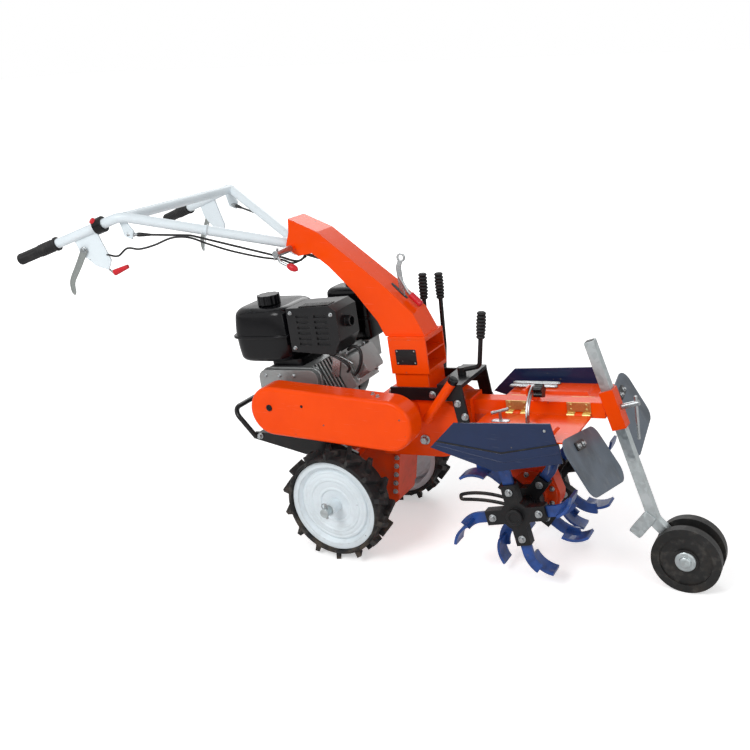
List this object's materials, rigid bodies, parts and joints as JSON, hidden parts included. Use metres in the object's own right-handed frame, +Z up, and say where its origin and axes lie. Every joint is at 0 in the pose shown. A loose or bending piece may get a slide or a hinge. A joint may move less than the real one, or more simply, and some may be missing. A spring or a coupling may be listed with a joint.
{
  "type": "walk-behind ditching machine",
  "caption": "Walk-behind ditching machine: petrol engine, lugged drive wheels, tined rotor under hinged covers, tail wheel on a sliding mast, and a swivelling handlebar.",
  "frame": {"origin": "on the ground, midway along and across the machine's overall box", "axes": "+X from the handlebar towards the rotor and tail wheel, +Y to the left as seen along +X, +Z up"},
  "size_m": [1.8676, 0.6504, 0.9145],
  "materials": {
    "orange_paint": "gloss powder coat",
    "black_plastic": "moulded, satin",
    "black_steel": "satin paint",
    "engine_aluminium": "as cast",
    "white_paint": "gloss paint",
    "blue_paint": "gloss paint",
    "galvanised_steel": "zinc plated",
    "tyre_rubber": "matt",
    "grip_rubber": "matt",
    "grey_paint": "satin paint",
    "hinge_brass": "yellow passivated",
    "red_plastic": "moulded",
    "cast_metal": "painted black",
    "black_cable": "satin sheath"
  },
  "bodies": {
    "chassis": {"drop_case": "orange_paint", "gearbox": "orange_paint", "pedestal": "orange_paint", "hitch_plates": "black_steel", "engine_frame": "black_steel", "front_bumper": "black_steel", "engine_block": "engine_aluminium", "rocker_cover": "engine_aluminium", "recoil_starter": "black_plastic", "fuel_tank": "black_plastic", "tank_cap": "black_plastic", "muffler": "black_steel", "carburettor": "engine_aluminium", "air_cleaner": "black_plastic", "belt_cover": "orange_paint", "gear_levers": "black_steel", "lever_grips": "grip_rubber", "hood_beam": "orange_paint", "mast_sleeve": "orange_paint", "sleeve_screw": "galvanised_steel", "chain_case": "orange_paint", "right_hinge": "hinge_brass", "left_hinge": "hinge_brass", "knob_bracket": "orange_paint", "star_knob": "black_plastic"},
    "right_wheel": {"right_tyre": "tyre_rubber", "right_rim": "white_paint", "right_axle": "galvanised_steel"},
    "left_wheel": {"left_tyre": "tyre_rubber", "left_rim": "white_paint", "left_axle": "galvanised_steel"},
    "steering_arm": {"column": "orange_paint", "arm": "orange_paint", "lock_lever": "galvanised_steel", "lock_grip": "red_plastic", "clamp_screw": "galvanised_steel", "clamp_knob": "red_plastic", "arm_cables": "black_cable"},
    "handlebar_frame": {"handlebar": "white_paint", "right_grip": "grip_rubber", "left_grip": "grip_rubber", "right_lever": "grey_paint", "left_lever": "grey_paint", "switch_box": "black_plastic", "throttle_tip": "red_plastic", "bar_cables": "black_cable"},
    "right_cover": {"right_wing": "orange_paint", "right_shield": "blue_paint", "right_flap": "grey_paint", "quadrant": "galvanised_steel"},
    "left_cover": {"left_wing": "orange_paint", "left_shield": "blue_paint", "left_flap": "grey_paint"},
    "rotor": {"rotor_shaft": "cast_metal", "right_tines": "blue_paint", "left_tines": "blue_paint"},
    "tail_strut": {"tail_mast": "galvanised_steel"},
    "tail_pair": {"tail_wheels": "black_plastic"}
  },
  "joints": [
    {"name": "right_wheel_spin", "type": "hinge", "parent": "chassis", "child": "right_wheel", "pos_m": [-0.02787, -0.185, 0.15], "axis": [0, 1, 0], "continuous": true},
    {"name": "left_wheel_spin", "type": "hinge", "parent": "chassis", "child": "left_wheel", "pos_m": [-0.02787, 0.185, 0.15], "axis": [0, 1, 0], "continuous": true},
    {"name": "rotor_spin", "type": "hinge", "parent": "chassis", "child": "rotor", "pos_m": [0.46256, 0, 0.19005], "axis": [0, 1, 0], "continuous": true},
    {"name": "arm_swivel", "type": "hinge", "parent": "chassis", "child": "steering_arm", "pos_m": [0.13636, 0, 0.48362], "axis": [-0.0976, 0, 0.9952], "range_deg": [-30, 30]},
    {"name": "handlebar_pitch", "type": "hinge", "parent": "steering_arm", "child": "handlebar_frame", "pos_m": [-0.20394, 0, 0.79791], "axis": [0, 1, 0], "range_deg": [-18, 30]},
    {"name": "right_cover_lift", "type": "hinge", "parent": "chassis", "child": "right_cover", "pos_m": [0.4793, -0.0262, 0.40873], "axis": [-0.9952, 0, -0.0976], "range_deg": [0, 45]},
    {"name": "left_cover_lift", "type": "hinge", "parent": "chassis", "child": "left_cover", "pos_m": [0.4793, 0.0262, 0.40873], "axis": [0.9952, 0, 0.0976], "range_deg": [0, 60]},
    {"name": "mast_slide", "type": "slide", "parent": "chassis", "child": "tail_strut", "axis": [-0.3533, 0, 0.9355], "range_m": [-0.08, 0.12]},
    {"name": "tail_spin", "type": "hinge", "parent": "tail_strut", "child": "tail_pair", "pos_m": [0.84976, 0, 0.084], "axis": [0, 1, 0], "continuous": true}
  ]
}
